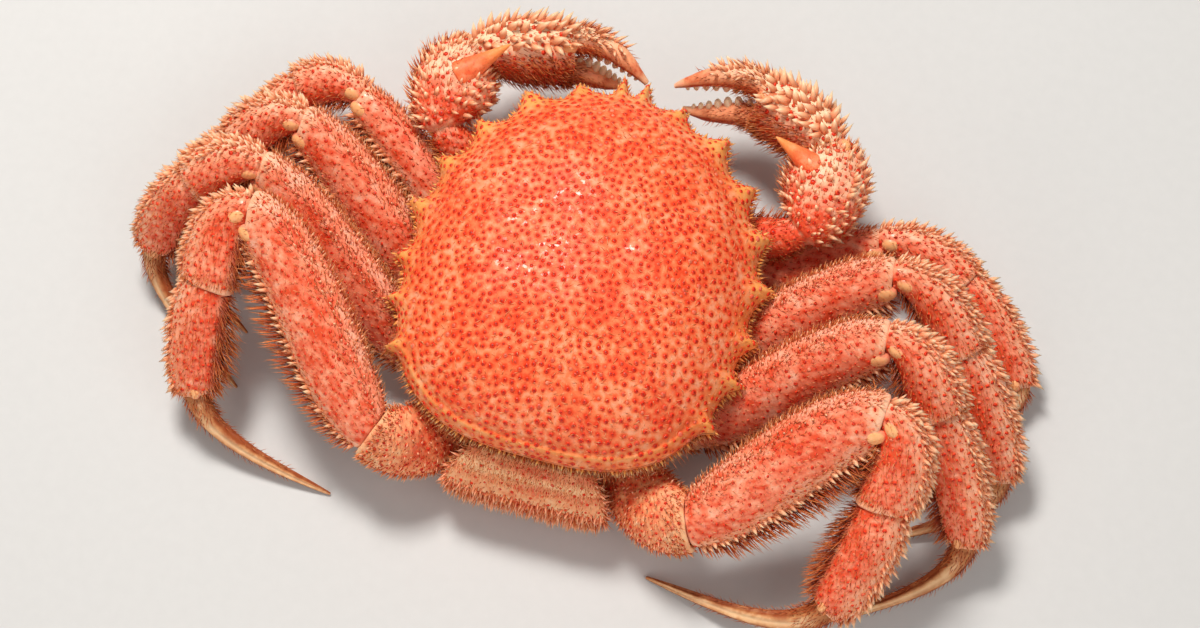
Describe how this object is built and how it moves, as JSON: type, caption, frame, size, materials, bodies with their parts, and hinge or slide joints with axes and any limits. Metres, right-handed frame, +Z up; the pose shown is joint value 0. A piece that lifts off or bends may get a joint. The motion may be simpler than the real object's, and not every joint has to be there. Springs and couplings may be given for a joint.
{
  "type": "horsehair crab, boiled, still model",
  "caption": "Life-size boiled horsehair crab at rest, bristly shell over a breast plate, jointed walking legs folded at both sides and two claws held before the face.",
  "frame": {"origin": "middle of the model's box in plan, on the floor plane it stands on", "axes": "+Y the crab's front, +X its right, the longest way, +Z up, the shortest way"},
  "size_m": [0.2428, 0.1412, 0.0511],
  "materials": {
    "shell": "orange-red shell with darker red warts, satin with a wet gloss",
    "leg": "coral red, cream-tipped warts, satin with a wet gloss",
    "claw": "cream to red, cream teeth, satin with a wet gloss",
    "underside": "cream pink, satin",
    "toe": "tan to brown, grooved, satin",
    "eye": "black, glossy"
  },
  "bodies": {
    "root": {"shell": "shell", "breast": "underside", "belly_flap": "underside", "eye_left": "eye", "feeler_left": "leg", "jaw_left": "underside", "eye_right": "eye", "feeler_right": "leg", "jaw_right": "underside", "leg1_left_hip": "underside", "leg1_left_merus": "leg", "leg1_left_carpus": "leg", "leg1_left_propodus": "leg", "leg1_left_dactyl": "toe", "leg2_left_hip": "underside", "leg2_left_merus": "leg", "leg2_left_carpus": "leg", "leg2_left_propodus": "leg", "leg2_left_dactyl": "toe", "leg3_left_hip": "underside", "leg3_left_merus": "leg", "leg3_left_carpus": "leg", "leg3_left_propodus": "leg", "leg3_left_dactyl": "toe", "leg4_left_hip": "underside", "leg4_left_merus": "leg", "leg4_left_carpus": "leg", "leg4_left_propodus": "leg", "leg4_left_dactyl": "toe", "leg1_right_hip": "underside", "leg1_right_merus": "leg", "leg1_right_carpus": "leg", "leg1_right_propodus": "leg", "leg1_right_dactyl": "toe", "leg2_right_hip": "underside", "leg2_right_merus": "leg", "leg2_right_carpus": "leg", "leg2_right_propodus": "leg", "leg2_right_dactyl": "toe", "leg3_right_hip": "underside", "leg3_right_merus": "leg", "leg3_right_carpus": "leg", "leg3_right_propodus": "leg", "leg3_right_dactyl": "toe", "leg4_right_hip": "underside", "leg4_right_merus": "leg", "leg4_right_carpus": "leg", "leg4_right_propodus": "leg", "leg4_right_dactyl": "toe", "claw_left_hip": "claw", "claw_left_arm": "claw", "claw_left_wrist": "claw", "claw_left_palm": "claw", "claw_left_finger": "claw", "claw_right_hip": "claw", "claw_right_arm": "claw", "claw_right_wrist": "claw", "claw_right_palm": "claw", "claw_right_finger": "claw"}
  },
  "joints": []
}
